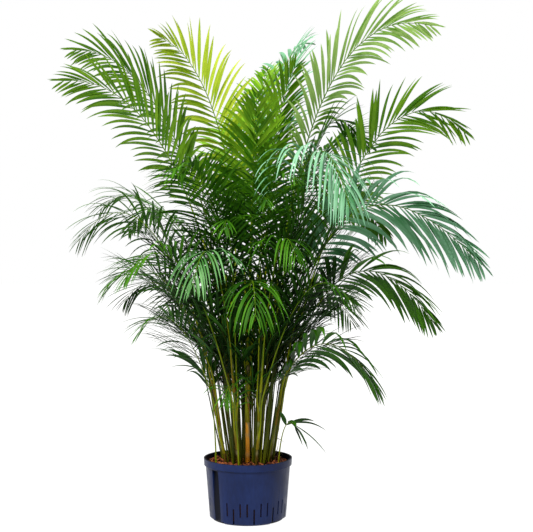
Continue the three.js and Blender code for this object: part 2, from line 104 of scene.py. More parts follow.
world = bpy.data.worlds.new("white_studio")
scene.world = world
world.use_nodes = True
sky_tree = world.node_tree
backdrop = sky_tree.nodes["Background"]
backdrop.inputs["Color"].default_value = (1, 1, 1, 1)
fill = sky_tree.nodes.new("ShaderNodeBackground")
fill.inputs["Color"].default_value = (0.9, 0.96, 1.0, 1)
fill.inputs["Strength"].default_value = 0.16
seen = sky_tree.nodes.new("ShaderNodeLightPath")
choice = sky_tree.nodes.new("ShaderNodeMixShader")
sky_tree.links.new(seen.outputs["Is Camera Ray"], choice.inputs["Fac"])
sky_tree.links.new(fill.outputs["Background"], choice.inputs[1])
sky_tree.links.new(backdrop.outputs["Background"], choice.inputs[2])
sky_tree.links.new(choice.outputs["Shader"], sky_tree.nodes["World Output"].inputs["Surface"])


def add_lamp(name, kind, energy, place, target, size, color=(1, 1, 1)):
    """A lamp that stands at one point and faces another."""
    lamp = bpy.data.lights.new(name, kind)
    lamp.energy = energy
    lamp.color = color
    if kind == "SUN":
        lamp.angle = size
    else:
        lamp.size = size
    holder = bpy.data.objects.new(name, lamp)
    holder.location = place
    holder.rotation_euler = (Vector(target) - Vector(place)).to_track_quat("-Z", "Y").to_euler()
    scene.collection.objects.link(holder)


add_lamp("front_sun", "SUN", 5.6, (-0.9, -2.0, 3.6), (0, 0, 0.8), math.radians(16), (1, 0.98, 0.92))
add_lamp("back_sun", "SUN", 1.2, (1.2, 2.2, 3.2), (0, 0, 1.0), math.radians(25), (1, 1, 0.95))
add_lamp("overhead_panel", "AREA", 30, (0.3, -0.4, 3.3), (0, 0, 1.0), 2.4, (0.9, 0.97, 1))

FLOOR_RADIUS = 40
bpy.ops.mesh.primitive_circle_add(vertices=96, radius=FLOOR_RADIUS, fill_type="NGON")
floor = bpy.context.object
floor.name = "floor"
floor.location.z = cad_low[2] - 0.001
paint = bpy.data.materials.new("floor_paint")
paint.use_nodes = True
paint.node_tree.nodes["Principled BSDF"].inputs["Base Color"].default_value = (0.05, 0.05, 0.05, 1)
paint.node_tree.nodes["Principled BSDF"].inputs["Roughness"].default_value = 0.9
paint.node_tree.nodes["Principled BSDF"].inputs["Emission Color"].default_value = (1, 1, 1, 1)
paint.node_tree.nodes["Principled BSDF"].inputs["Emission Strength"].default_value = 1.0
floor.data.materials.append(paint)

# %% [markdown]
# ## Reading a frond from its CAD solid
#
# The CAD solid of a frond is a three-cornered stalk, made of rings, with coarse leaflets that each
# end in one sharp corner. Reading the midrib and the leaflets back from that solid puts the fine
# frond exactly where the frame has it, with nothing to keep in step by hand. A leaflet's tip is a
# corner with only three neighbours, and those three lie half-way along the leaflet. What is left
# is the stalk, and it is walked ring by ring from its foot.


# %% Read the frond guides
def corners_and_neighbours(node):
    """The corners of a CAD node, with doubled ones joined, and the neighbours of each."""
    mesh = bmesh.new()
    mesh.from_mesh(nodes[node].data)
    bmesh.ops.remove_doubles(mesh, verts=mesh.verts, dist=1e-6)
    corners = np.array([vertex.co for vertex in mesh.verts])
    mesh.verts.index_update()
    neighbours = [
        {edge.other_vert(vertex).index for edge in vertex.link_edges} for vertex in mesh.verts
    ]
    mesh.free()
    return corners, neighbours


def unit(vector):
    return vector / np.linalg.norm(vector)


def read_frond(node):
    """The midrib's rings and the coarse leaflets of a frond's CAD solid."""
    corners, neighbours = corners_and_neighbours(node)
    tips = [i for i, near in enumerate(neighbours) if len(near) == 3]
    leafy = set(tips).union(*(neighbours[i] for i in tips))
    stalk = [i for i in range(len(corners)) if i not in leafy]
    ring = sorted(stalk, key=lambda i: corners[i][2])[:3]
    rings = []
    seen = set()
    while ring:
        rings.append(ring)
        seen.update(ring)
        ring = sorted({j for i in ring for j in neighbours[i]} - seen - leafy)
    where = {i: step for step, ring in enumerate(rings) for i in ring}
    middles = np.array([corners[ring].mean(axis=0) for ring in rings])
    tangents = np.gradient(middles, axis=0)
    sides = []
    for ring, tangent in zip(rings, tangents):
        points = corners[ring]
        gaps = [np.linalg.norm(points[i - 1] - points[i - 2]) for i in range(3)]
        keel = int(np.argmax(gaps))
        left, right = points[keel - 1], points[keel - 2]
        above = (left + right) / 2 - points[keel]
        side = left - right
        if np.dot(np.cross(side, above), tangent) < 0:
            side = -side
        sides.append(side)
    guides = {1: [], -1: []}
    for tip in tips:
        ribs = neighbours[tip]
        foot = {j for i in ribs for j in neighbours[i] if j in where}
        step = min(where[i] for i in foot)
        root = corners[sorted(foot)].mean(axis=0)
        middle = corners[sorted(ribs)].mean(axis=0)
        hand = 1 if np.dot(corners[tip] - root, sides[step]) > 0 else -1
        guides[hand].append((step, root, unit(middle - root), np.linalg.norm(corners[tip] - root)))
    for hand in guides:
        guides[hand].sort(key=lambda guide: guide[0])
    return {"middles": middles, "sides": np.array(sides), "guides": guides}


frond_names = sorted(name for name in nodes if "frond" in name or "shoot" in name)
fronds = {name: read_frond(name) for name in frond_names}
print(len(fronds), "fronds,", {len(f["middles"]) for f in fronds.values()}, "rings,",
      {len(f["guides"][1]) for f in fronds.values()}, "leaflets a side")

# %% [markdown]
# ## A smooth midrib
#
# The CAD midrib has few steps. A Catmull-Rom curve passes through all its points and rounds the
# corners between them, so the fine midrib keeps the place and the length of the coarse one.


# %% Smooth the midrib
def through(points, per_step):
    """Points on a Catmull-Rom curve that passes through the given ones."""
    padded = np.vstack([2 * points[0] - points[1], points, 2 * points[-1] - points[-2]])
    rows = []
    for a, b, c, d in zip(padded, padded[1:], padded[2:], padded[3:]):
        for t in np.arange(per_step) / per_step:
            rows.append(0.5 * (2 * b + (c - a) * t + (2 * a - 5 * b + 4 * c - d) * t**2
                               + (3 * b - a - 3 * c + d) * t**3))
    rows.append(points[-1])
    return np.array(rows)


class Midrib:
    """A frond's midrib as a smooth curve that carries its own left-hand and upward directions."""

    def __init__(self, frond, per_step=4):
        self.points = through(frond["middles"], per_step)
        steps = np.linalg.norm(np.diff(self.points, axis=0), axis=1)
        self.lengths = np.concatenate([[0], np.cumsum(steps)])
        self.length = self.lengths[-1]
        self.tangents = np.gradient(self.points, axis=0)
        rings = np.arange(len(frond["middles"]))
        fine = np.linspace(0, rings[-1], len(self.points))
        self.sides = np.column_stack(
            [np.interp(fine, rings, frond["sides"][:, axis]) for axis in range(3)])
        self.ring_lengths = self.lengths[::per_step]

    def at(self, length):
        """The point, the direction onwards, the left-hand side and the upward side at a length."""
        pick = lambda rows: np.array([np.interp(length, self.lengths, rows[:, i]) for i in range(3)])
        onward = unit(pick(self.tangents))
        side = pick(self.sides)
        side = unit(side - np.dot(side, onward) * onward)
        return pick(self.points), onward, side, np.cross(onward, side)


# %% [markdown]
# ## Canes
#
# An areca cane is a smooth green bar with pale rings where old leaves have fallen. The CAD cane is
# a plain ten-sided bar: its lowest and highest rings give the fine cane's line and thickness. That
# bar stands for a cane in its dry sheaths, so the bare green cane inside is slimmer. The golden one
# has lost its sheaths and keeps nearly the whole width.


# %% Read the canes
cane_names = sorted(name for name in nodes if name.startswith("cane_") and "frond" not in name)


GOLDEN_CANE = "cane_02"
BARE_CANE = 0.66
BARE_GOLDEN_CANE = 0.92


def read_cane(node):
    """The foot and the top of a cane's axis, with its radius at each."""
    corners, _ = corners_and_neighbours(node)
    ends = []
    for level in (corners[:, 2].min(), corners[:, 2].max()):
        ring = corners[np.abs(corners[:, 2] - level) < 1e-4]
        middle = ring.mean(axis=0)
        slim = BARE_GOLDEN_CANE if node == GOLDEN_CANE else BARE_CANE
        ends.append((middle, np.linalg.norm(ring - middle, axis=1).max() * slim))
    return ends


canes = {name: read_cane(name) for name in cane_names}
soil_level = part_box("clay_granules")[1].z
print(len(canes), "canes, clay at", round(soil_level, 3), "m")

# %% [markdown]
# ## Building meshes
#
# Every plant piece is a set of closed tubes and blades. Gathering their corners and faces in
# lists, with a few numbers for each corner that the finishes read later, is quick and gives clean
# meshes, where a modifier stack on hundreds of small pieces would be slow.


# %% Mesh helpers
class Shape:
    """Collects closed tubes in one mesh, with named numbers at each corner."""

    def __init__(self, *marks):
        self.corners = []
        self.faces = []
        self.marks = {mark: [] for mark in marks}
        self.count = 0

    def tube(self, rings, **marks):
        """Joins rings of equally many corners, and closes both ends."""
        rings = np.asarray(rings)
        steps, sides = rings.shape[:2]
        ids = self.count + np.arange(steps * sides).reshape(steps, sides)
        across = np.roll(ids, -1, axis=1)
        quads = np.stack([ids[:-1], across[:-1], across[1:], ids[1:]], axis=-1)
        self.faces += quads.reshape(-1, 4).tolist()
        self.faces += [ids[0, ::-1].tolist(), ids[-1].tolist()]
        self.corners.append(rings.reshape(-1, 3))
        self.count += steps * sides
        for mark, rows in self.marks.items():
            rows.append(np.broadcast_to(marks.get(mark, 0), (steps, sides)).ravel())

    def build(self, name, *materials, sharp=40):
        mesh = bpy.data.meshes.new(name)
        mesh.from_pydata(np.concatenate(self.corners).tolist(), [], self.faces)
        for mark, rows in self.marks.items():
            attribute = mesh.attributes.new(mark, "FLOAT", "POINT")
            attribute.data.foreach_set("value", np.concatenate(rows).astype(np.float32))
        mesh.shade_smooth()
        mesh.set_sharp_from_angle(angle=math.radians(sharp))
        piece = bpy.data.objects.new(name, mesh)
        scene.collection.objects.link(piece)
        for material in materials:
            mesh.materials.append(material)
        return piece


def ease(x):
    """Rises smoothly from 0 to 1 as x does."""
    x = np.clip(x, 0, 1)
    return x * x * (3 - 2 * x)


# %% [markdown]
# ## The leaf finish
#
# A living leaf is green pigment under a waxy skin: it shines a little, and it glows yellow-green
# where light comes through it. A Principled shader gives the colour and the wax, and a Translucent
# shader mixed into it gives the glow. Each leaflet has a shade of green carried at its corners: a
# random tone of its own plus painted shade, darker deep in the clump and lighter on top. Its middle
# is paler, and fine veins run along it as bumps.


# %% Leaf finish
def new_material(name):
    material = bpy.data.materials.new(name)
    material.use_nodes = True
    tree = material.node_tree
    return material, tree, tree.nodes["Principled BSDF"], tree.nodes["Material Output"]


def mark_value(tree, mark):
    node = tree.nodes.new("ShaderNodeAttribute")
    node.attribute_name = mark
    return node.outputs["Fac"]


def math_node(tree, operation, *values, clamp=False):
    node = tree.nodes.new("ShaderNodeMath")
    node.operation = operation
    node.use_clamp = clamp
    for socket, value in zip(node.inputs, values):
        if isinstance(value, (int, float)):
            socket.default_value = value
        else:
            tree.links.new(value, socket)
    return node.outputs[0]


def ramp_node(tree, value, *stops):
    """A colour ramp through (position, colour) stops."""
    node = tree.nodes.new("ShaderNodeValToRGB")
    elements = node.color_ramp.elements
    while len(elements) < len(stops):
        elements.new(0.5)
    for element, (position, color) in zip(elements, stops):
        element.position = position
        element.color = (*color, 1)
    tree.links.new(value, node.inputs["Fac"])
    return node.outputs["Color"]


def mix_color(tree, share, first, second):
    node = tree.nodes.new("ShaderNodeMix")
    node.data_type = "RGBA"
    for name, value in (("Factor", share), ("A", first), ("B", second)):
        socket = [s for s in node.inputs if s.name == name and s.enabled][0]
        if isinstance(value, tuple):
            socket.default_value = (*value, 1)
        elif isinstance(value, (int, float)):
            socket.default_value = value
        else:
            tree.links.new(value, socket)
    return [s for s in node.outputs if s.enabled][0]


def noise_node(tree, scale, detail=3, stretch=(1, 1, 1)):
    where = tree.nodes.new("ShaderNodeTexCoord")
    mapping = tree.nodes.new("ShaderNodeMapping")
    mapping.inputs["Scale"].default_value = stretch
    noise = tree.nodes.new("ShaderNodeTexNoise")
    noise.inputs["Scale"].default_value = scale
    noise.inputs["Detail"].default_value = detail
    tree.links.new(where.outputs["Object"], mapping.inputs["Vector"])
    tree.links.new(mapping.outputs["Vector"], noise.inputs["Vector"])
    return noise.outputs["Fac"]


def bump_node(tree, height, strength, distance, shader):
    bump = tree.nodes.new("ShaderNodeBump")
    bump.inputs["Strength"].default_value = strength
    bump.inputs["Distance"].default_value = distance
    tree.links.new(height, bump.inputs["Height"])
    tree.links.new(bump.outputs["Normal"], shader.inputs["Normal"])


VEINS = 34


def leaf_finish(name, dark, middle, light, glow, roughness, glow_share, shine=0.3):
    material, tree, shader, output = new_material(name)
    # The shade mark holds each leaflet's random tone plus painted shade from its place in the clump.
    shade = math_node(tree, "ADD", mark_value(tree, "shade"),
                      math_node(tree, "MULTIPLY", noise_node(tree, 14), 0.5))
    shade = math_node(tree, "SUBTRACT", shade, 0.25)
    color = ramp_node(tree, shade, (0.0, dark), (0.5, middle), (1.0, light))
    centre = math_node(tree, "ABSOLUTE", mark_value(tree, "across"))
    centre = math_node(tree, "SUBTRACT", 1, math_node(tree, "MULTIPLY", centre, 7), clamp=True)
    color = mix_color(tree, math_node(tree, "MULTIPLY", centre, 0.4), color, light)
    tree.links.new(color, shader.inputs["Base Color"])
    shader.inputs["Roughness"].default_value = roughness
    shader.inputs["Specular IOR Level"].default_value = shine
    veins = math_node(tree, "SINE", math_node(tree, "MULTIPLY", mark_value(tree, "across"), VEINS))
    bump_node(tree, veins, 0.25, 0.0004, shader)
    through_light = tree.nodes.new("ShaderNodeBsdfTranslucent")
    tree.links.new(mix_color(tree, 0.55, color, glow), through_light.inputs["Color"])
    mix = tree.nodes.new("ShaderNodeMixShader")
    mix.inputs["Fac"].default_value = glow_share
    tree.links.new(shader.outputs["BSDF"], mix.inputs[1])
    tree.links.new(through_light.outputs["BSDF"], mix.inputs[2])
    tree.links.new(mix.outputs["Shader"], output.inputs["Surface"])
    return material


LEAF_FINISHES = {
    "yellow": leaf_finish("leaf_yellow", (0.07, 0.18, 0.002), (0.30, 0.48, 0.012),
                          (0.75, 0.82, 0.090), (0.70, 0.90, 0.03), 0.45, 0.35, 0.12),
    # A whitish copy of the green: a painted highlight.
    "painted_highlight": leaf_finish("leaf_painted_highlight", (0.050, 0.16, 0.006), (0.20, 0.42, 0.040),
                         (0.70, 0.88, 0.34), (0.50, 0.82, 0.08), 0.42, 0.35, 0.15),
    # A lighter copy of the green for sunlit fronds: painted light.
    "painted_sunlit": leaf_finish("leaf_painted_sunlit", (0.007, 0.055, 0.001), (0.045, 0.19, 0.002),
                          (0.28, 0.52, 0.020), (0.24, 0.62, 0.004), 0.42, 0.30, 0.12),
    "green": leaf_finish("leaf_green", (0.003, 0.022, 0.001), (0.016, 0.085, 0.002),
                         (0.08, 0.26, 0.008), (0.08, 0.34, 0.004), 0.42, 0.22, 0.1),
    # A near-black copy of the green for low and inner fronds: painted shade.
    "dark": leaf_finish("leaf_painted_shade", (0.0005, 0.005, 0.0003), (0.006, 0.030, 0.001),
                        (0.030, 0.120, 0.003), (0.03, 0.16, 0.002), 0.45, 0.14, 0.05),
    # A teal copy of the green: a painted reflection of the sky on the leaves' wax.
    "painted_sky_reflection": leaf_finish("leaf_painted_sky_reflection", (0.007, 0.075, 0.010), (0.065, 0.26, 0.09),
                          (0.30, 0.60, 0.38), (0.10, 0.40, 0.08), 0.34, 0.22, 0.22),
    "pale": leaf_finish("leaf_pale", (0.006, 0.05, 0.004), (0.03, 0.15, 0.018),
                        (0.20, 0.46, 0.16), (0.12, 0.40, 0.05), 0.36, 0.25, 0.2),
}

# %% [markdown]
# ## The stalk finish
#
# A stalk is the same green as the leaf's pale middle, and it turns yellow towards its foot, where
# it wraps the cane as a sheath. The stalks deep in the clump get a much darker version of the same
# finish, which is painted shade.

# %% Stalk finishes
def stalk_finish(name, *stops):
    material, tree, shader, _ = new_material(name)
    streaks = noise_node(tree, 60, stretch=(1, 1, 0.08))
    aged = math_node(tree, "ADD", mark_value(tree, "age"),
                     math_node(tree, "MULTIPLY", math_node(tree, "SUBTRACT", streaks, 0.5), 0.6))
    tree.links.new(ramp_node(tree, aged, *stops), shader.inputs["Base Color"])
    shader.inputs["Roughness"].default_value = 0.42
    shader.inputs["Specular IOR Level"].default_value = 0.1
    bump_node(tree, streaks, 0.3, 0.001, shader)
    return material


outer_stalk = stalk_finish("frond_stalk", (0.0, (0.07, 0.16, 0.001)), (0.45, (0.12, 0.18, 0.001)),
                           (0.8, (0.21, 0.23, 0.002)), (1.0, (0.15, 0.09, 0.003)))
# A near-black copy of the stalk finish for the inner stems: painted shade.
painted_shade_stalk = stalk_finish("painted_shade_stalk", (0.0, (0.006, 0.018, 0.0005)), (0.5, (0.035, 0.05, 0.001)),
                           (0.8, (0.14, 0.15, 0.003)), (1.0, (0.02, 0.012, 0.001)))

# %% [markdown]
# ## The shape of a leaflet
#
# A leaflet is a closed thin blade with a roof-like fold along its middle. It is narrow at its foot,
# keeps nearly its full width to past the middle, and is drawn out to a point that nods under its
# own weight. Each station of the blade has four corners: two edges, the ridge, and the underside of
# the ridge, so the blade has a real thickness and stays closed.

# %% Leaflet shape
LEAFLET_STATIONS = 10
LEAFLET_WIDTH = 0.0128
LEAFLET_THICKNESS = 0.0006
FOLD = 0.16
ALONG = np.linspace(0, 1, LEAFLET_STATIONS)
OUTLINE = np.minimum(1, 0.28 + ALONG / 0.3 * 0.72) * (1 - ALONG**3.5) ** 0.9
OUTLINE[-1] = 0.03
DOWN = np.array([0, 0, -1.0])


def leaflet_rings(root, direction, above, length, width, nod, twist):
    """The stations of one leaflet, as rings of left edge, ridge, right edge and underside."""
    point = np.array(root)
    level = unit(np.cross(direction, above))
    rings = []
    step = length / (LEAFLET_STATIONS - 1)
    for along, share in zip(ALONG, OUTLINE):
        heading = unit(direction + nod * along**1.5 * DOWN)
        flat = unit(level - np.dot(level, heading) * heading)
        raised = np.cross(flat, heading)
        turn = twist * along
        flat, raised = (flat * math.cos(turn) + raised * math.sin(turn),
                        raised * math.cos(turn) - flat * math.sin(turn))
        half = 0.5 * width * share
        lift = 2 * half * FOLD
        under = LEAFLET_THICKNESS * (0.3 + 0.7 * share)
        rings.append([point - half * flat - lift * raised, point,
                      point + half * flat - lift * raised, point - under * raised])
        point = point + heading * step
    return np.array(rings)


# %% [markdown]
# ## The shape of a stalk
#
# A stalk's section has a shallow channel on top and a round keel below. At its foot it widens into
# a sheath round its cane, so the tube starts as circles on the cane's axis, and eases from there
# into the stalk's own section beside the cane.

# %% Stalk shape
STALK_WIDTH = 0.0072
STALK_TAPER = 0.74
STALK_SECTION = np.array([
    (0.50, 0.05), (0.40, 0.30), (0.0, 0.16), (-0.40, 0.30), (-0.50, 0.05),
    (-0.36, -0.34), (0.0, -0.52), (0.36, -0.34)])
ROUND_SECTION = np.array([
    (math.cos(math.radians(a)), math.sin(math.radians(a)))
    for a in (0, 45, 90, 135, 180, 225, 270, 315)])
SHEATH_LENGTH = 0.08
SHEATH_STEPS = 7
SHEATH_WRAP = 0.0006
STALK_STEPS = 26


def cane_at(cane, height):
    """The point on a cane's axis at a height, and the cane's radius there."""
    (foot, foot_radius), (top, top_radius) = cane
    share = (height - foot[2]) / (top[2] - foot[2])
    return foot + (top - foot) * share, foot_radius + (top_radius - foot_radius) * share


def stalk_rings(midrib, size, cane, order):
    """Rings from the sheath round the cane to the tip of the midrib, and the age of each."""
    rings = []
    ages = []
    foot, _, side, above = midrib.at(0)
    if cane:
        for share in np.linspace(0, 1, SHEATH_STEPS)[:-1]:
            height = foot[2] - SHEATH_LENGTH * (1 - share)
            middle, radius = cane_at(cane, height)
            beside = middle + (foot - cane_at(cane, foot[2])[0]) * ease(share)
            wrapped = ROUND_SECTION * (radius + SHEATH_WRAP * (1 + 0.4 * order))
            section = wrapped * (1 - ease(share)) + STALK_SECTION * STALK_WIDTH * size * ease(share)
            rings.append([beside + x * side + y * above for x, y in section])
            ages.append(1 - 0.2 * share)
    for length in np.linspace(0, midrib.length, STALK_STEPS):
        point, _, side, above = midrib.at(length)
        width = STALK_WIDTH * size * (1 - STALK_TAPER * length / midrib.length)
        rings.append([point + x * side + y * above for x, y in STALK_SECTION * width])
        ages.append(0.8 - min(length, 0.6) * 1.3)
    return np.array(rings), np.array(ages)[:, None]


# %% [markdown]
# ## Growing the fronds
#
# A full frond has about thirty leaflets on each side, from a quarter of the way up the stalk to its
# tip. Their direction is read between the coarse CAD leaflets, and their length follows the outline
# of a feather: middling at the start of the blade, longest before its middle, and short at the tip.
# Small random turns, seeded so that every run grows the same plant, keep it from looking combed.
# A leaflet turns its face a little to the sky, whichever way its frond leans, so its blade is a
# blend of the frond's own upward direction and straight up. Leaflets deep inside the clump get a
# darker colour and those on top a lighter one: painted shade and painted light.

# %% Grow every frond
LEAFLET_SPACING = 0.018
SWEEP = 1.2
UP = -DOWN
HABITS = {  # blade start, leaflet length and width as shares, how far they hang and face the sky
    "arching": (0.40, 1.0, 1.1, 0.7, 0.3),
    "drooping": (0.33, 1.15, 1.35, 1.2, 0.3),
    "low": (0.13, 1.3, 1.45, 1.4, 0.3),
    "curtain": (0.46, 1.3, 0.62, 2.4, 0.3),
    "umbrella": (0.50, 1.1, 0.55, 3.0, 0.4),
    "hanging": (0.42, 1.15, 0.7, 1.1, 0.5),
    "spray": (0.78, 1.3, 1.6, 1.1, 0.1),
    "tuft": (0.62, 0.9, 0.7, 2.4, 0.5),
    "inner": (0.46, 1.0, 0.55, 0.7, 0.3),
}
HABIT_OF = {
    "curtain": ("cane_03_frond_2",),
    "umbrella": ("cane_08_frond_1", "cane_02_frond_1", "cane_09_frond_1"),
    "drooping": ("cane_10_frond_1", "cane_11_frond_2", "cane_12_frond_1"),
    "low": ("cane_10_frond_2",),
    "spray": ("young_shoot_1", "young_shoot_2"),
    "tuft": ("young_shoot_3",),
    "hanging": ("cane_02_frond_2", "cane_02_frond_3", "cane_08_frond_2", "cane_08_frond_3",
                "cane_09_frond_2", "cane_09_frond_3", "cane_05_frond_3", "cane_06_frond_2",
                "cane_06_frond_3", "cane_04_frond_3", "cane_12_frond_2", "cane_13_frond_1",
                "cane_13_frond_2", "cane_14_frond_2", "cane_07_frond_1", "cane_07_frond_2",
                "cane_07_frond_3", "cane_15_frond_1", "cane_15_frond_2"),
}
FINISH_OF = {
    "yellow": ("cane_01_frond_1",),
    "painted_highlight": ("cane_03_frond_1",),
    "painted_sunlit": ("cane_01_frond_2", "cane_01_frond_3", "cane_01_frond_4", "cane_05_frond_1",
               "cane_05_frond_2", "cane_06_frond_1", "cane_11_frond_1", "young_shoot_3"),
    "painted_sky_reflection": ("cane_04_frond_1", "cane_10_frond_1", "cane_03_frond_2"),
    "pale": ("cane_08_frond_1",),
    "green": ("cane_02_frond_1", "cane_07_frond_2", "cane_07_frond_3", "cane_10_frond_2",
              "cane_11_frond_2", "young_shoot_1", "young_shoot_2"),
}


def finish_of(name, midrib):
    """The named finish of a frond, or one by how high its blade is."""
    for finish, names in FINISH_OF.items():
        if name in names:
            return finish
    # Low blades get the dark finish, which is painted shade.
    return "green" if midrib.points[len(midrib.points) * 3 // 4][2] > 0.75 else "dark"


def feather(along):
    """A leaflet's share of the longest one's length, from the start of the blade to its tip."""
    return math.sin(math.pi * (0.17 + 0.76 * along))


def depth_shade(point):
    """How much light reaches a point: 0 deep inside the clump, 1 outside or on top."""
    middle = 0.5 * (cad_low[2] + cad_high[2])
    out = math.hypot(point[0], point[1]) / 0.42
    up = max(0.0, point[2] - middle) / 0.6
    return float(ease(min(1.0, out * 0.8 + up)))


def add_blade(shape, midrib, guides, longest, habit, rng, spacing=LEAFLET_SPACING):
    """Adds a frond's leaflets to a shape, on both sides of its midrib."""
    start_share, length_share, width_share, nod, skyward = HABITS[habit]
    start = midrib.length * start_share
    longest = longest * length_share
    for hand in (1, -1):
        marks = np.array([midrib.ring_lengths[guide[0]] for guide in guides[hand]])
        local = []
        for mark, guide in zip(marks, guides[hand]):
            _, onward, side, above = midrib.at(mark)
            local.append([np.dot(guide[2], axis) for axis in (onward, side * hand, above)])
        local = np.array(local)
        count = max(4, round((midrib.length - start) / spacing))
        for k in range(count):
            along = min(max((k + rng.uniform(-0.3, 0.3)) / (count - 0.6), 0), 1)
            length = start + along * (midrib.length - start) * 0.995
            point, onward, side, above = midrib.at(length)
            a, b, c = [np.interp(length, marks, local[:, i]) for i in range(3)]
            direction = unit(onward * a * SWEEP + side * hand * b
                             + above * (c + rng.uniform(-0.1, 0.1)))
            facing = above * (1 - skyward) + UP * skyward
            reach = longest * feather(along) * rng.uniform(0.88, 1.04)
            width = LEAFLET_WIDTH * (0.55 + 0.45 * min(1, reach / 0.2)) * rng.uniform(0.85, 1.12)
            width *= width_share
            blade = leaflet_rings(point + side * hand * 0.0015, direction, facing, reach, width,
                                  nod * rng.uniform(0.6, 1.3) * (0.5 + reach / 0.4),
                                  rng.uniform(-0.5, 0.5))
            # Painted shade and light: darker deep inside the clump, lighter on top, plus a random tone.
            shade = 0.12 + 0.6 * depth_shade(blade[5, 1]) + rng.uniform(-0.14, 0.2)
            shape.tube(blade, along=ALONG[:, None], across=np.array([[-1, 0, 1, 0]]),
                       shade=shade + 0.2 * (ALONG[:, None] - 0.5))


def finish_piece(shape, name, finish, stalk, stalk_faces):
    """Builds a leafy piece whose first faces are its stalk, and hands it to the frame."""
    piece = shape.build(name, LEAF_FINISHES[finish], stalk)
    for polygon in piece.data.polygons[:stalk_faces]:
        polygon.material_index = 1
    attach(piece, "root")
    return piece


def grow_frond(name, frond, rng):
    midrib = Midrib(frond)
    cane = canes.get(name.split("_frond")[0])
    longest = max(guide[3] for hand in (1, -1) for guide in frond["guides"][hand])
    slightest = 0.6 if cane else 0.9
    size = min(1.0, max(slightest, longest / 0.25))
    shape = Shape("along", "across", "shade", "age")
    rings, ages = stalk_rings(midrib, size, cane, int(name[-1]) if cane else 1)
    shape.tube(rings, age=ages + rng.uniform(-0.2, 0.1))
    habit = next((habit for habit, names in HABIT_OF.items() if name in names), "arching")
    add_blade(shape, midrib, frond["guides"], longest, habit, rng)
    piece = finish_piece(shape, name + "_leaves", finish_of(name, midrib), outer_stalk,
                         (len(rings) - 1) * rings.shape[1] + 2)
    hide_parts(name)
    return piece


rng = random.Random(7)
leafy_pieces = [grow_frond(name, frond, rng) for name, frond in fronds.items()]
print(sum(len(piece.data.polygons) for piece in leafy_pieces), "faces in", len(leafy_pieces), "fronds")

# %% [markdown]
# ## Inner stems
#
# Between the fifteen canes of the CAD model a real clump is packed with thinner stems, each with a
# small hanging leaf. They fill the middle of the plant and make it dark, by their own shadows and by
# painted shade: dark stalks on all, and dark leaves on the middle and high ones. They fan out from
# the clay as the canes do, with a small lean of their own, so that they cross and leave few gaps.

# %% Grow the inner stems
INNER_STEMS = 84
INNER_RADIUS = 0.084
INNER_STALK = 0.0052
INNER_LEAFLET_SPACING = 0.038
FOOT_TRIES = 20000
GOLDEN_VIEW = 0.013
STEM_LEAN = 0.05
cane_feet = [(cane_at(cane, soil_level)[0], cane[0][1]) for cane in canes.values()]
golden = cane_at(canes[GOLDEN_CANE], soil_level)[0]
outermost = max(canes.values(), key=lambda cane: math.hypot(*cane[0][0][:2]))
fan_rate = (np.linalg.norm(cane_at(outermost, soil_level + 0.3)[0][:2])
            / np.linalg.norm(cane_at(outermost, soil_level)[0][:2]) - 1) / 0.3
print("the canes spread by", round(fan_rate, 2), "of their distance from the middle per metre")


def inner_feet(count, rng):
    """Places on the clay that are clear of the canes and of each other, from the middle out."""
    feet = []
    for _ in range(FOOT_TRIES):
        if len(feet) == count:
            break
        radius = INNER_RADIUS * math.sqrt((len(feet) + rng.random()) / count)
        angle = rng.uniform(0, math.tau)
        foot = np.array([radius * math.cos(angle), radius * math.sin(angle)])
        clear = [np.linalg.norm(foot - middle[:2]) - thick for middle, thick in cane_feet]
        clear += [np.linalg.norm(foot - other) - INNER_STALK / 2 for other in feet]
        hides_golden = abs(foot[0] - golden[0]) < GOLDEN_VIEW and foot[1] < golden[1]
        if min(clear) > INNER_STALK * 0.7 and not hides_golden:
            feet.append(foot)
    return feet


def stem_midrib(foot, height, rng):
    """A midrib that rises with the fan of the canes and nods over at its tip."""
    outward = unit(np.array([*foot, 0]) + np.array([rng.uniform(-1, 1), rng.uniform(-1, 1), 0]) * 0.03)
    lean = np.array([rng.uniform(-STEM_LEAN, STEM_LEAN), rng.uniform(-STEM_LEAN, STEM_LEAN), 0])
    middles = []
    for share in np.linspace(0, 1, 14):
        z = share * height
        bend = 0.16 * max(0.0, share - 0.55) ** 1.5 / 0.3
        flat = np.array([*foot, 0]) * (1 + fan_rate * z) + outward * bend + lean * z
        middles.append(flat + np.array([0, 0, soil_level - 0.02 + z - 0.5 * bend]))
    side = np.cross(outward, [0, 0, 1])
    return Midrib({"middles": np.array(middles), "sides": np.tile(-side, (14, 1)), "guides": None})


def grow_inner_stems(name, feet, heights, reaches, finish, rng):
    shape = Shape("along", "across", "shade", "age")
    stalk_faces = 0
    midribs = []
    for foot in feet:
        midrib = stem_midrib(foot, rng.uniform(*heights), rng)
        rings, ages = stalk_rings(midrib, INNER_STALK / STALK_WIDTH, None, 1)
        shape.tube(rings, age=ages + rng.uniform(-0.25, 0.1))
        stalk_faces += (len(rings) - 1) * rings.shape[1] + 2
        midribs.append(midrib)
    for midrib in midribs:
        last = len(midrib.ring_lengths) - 1
        guides = {hand: [] for hand in (1, -1)}
        for hand in guides:
            for step, spread in ((5, 38), (last - 1, 14)):
                _, onward, side, above = midrib.at(midrib.ring_lengths[step])
                spread = math.radians(spread)
                guides[hand].append((step, None, onward * math.cos(spread)
                                     + hand * side * math.sin(spread) + 0.2 * above, 0))
        add_blade(shape, midrib, guides, rng.uniform(*reaches), "inner", rng,
                  INNER_LEAFLET_SPACING)
    return finish_piece(shape, name, finish, painted_shade_stalk, stalk_faces)


rng = random.Random(11)
feet = inner_feet(INNER_STEMS, rng)
third = len(feet) // 3
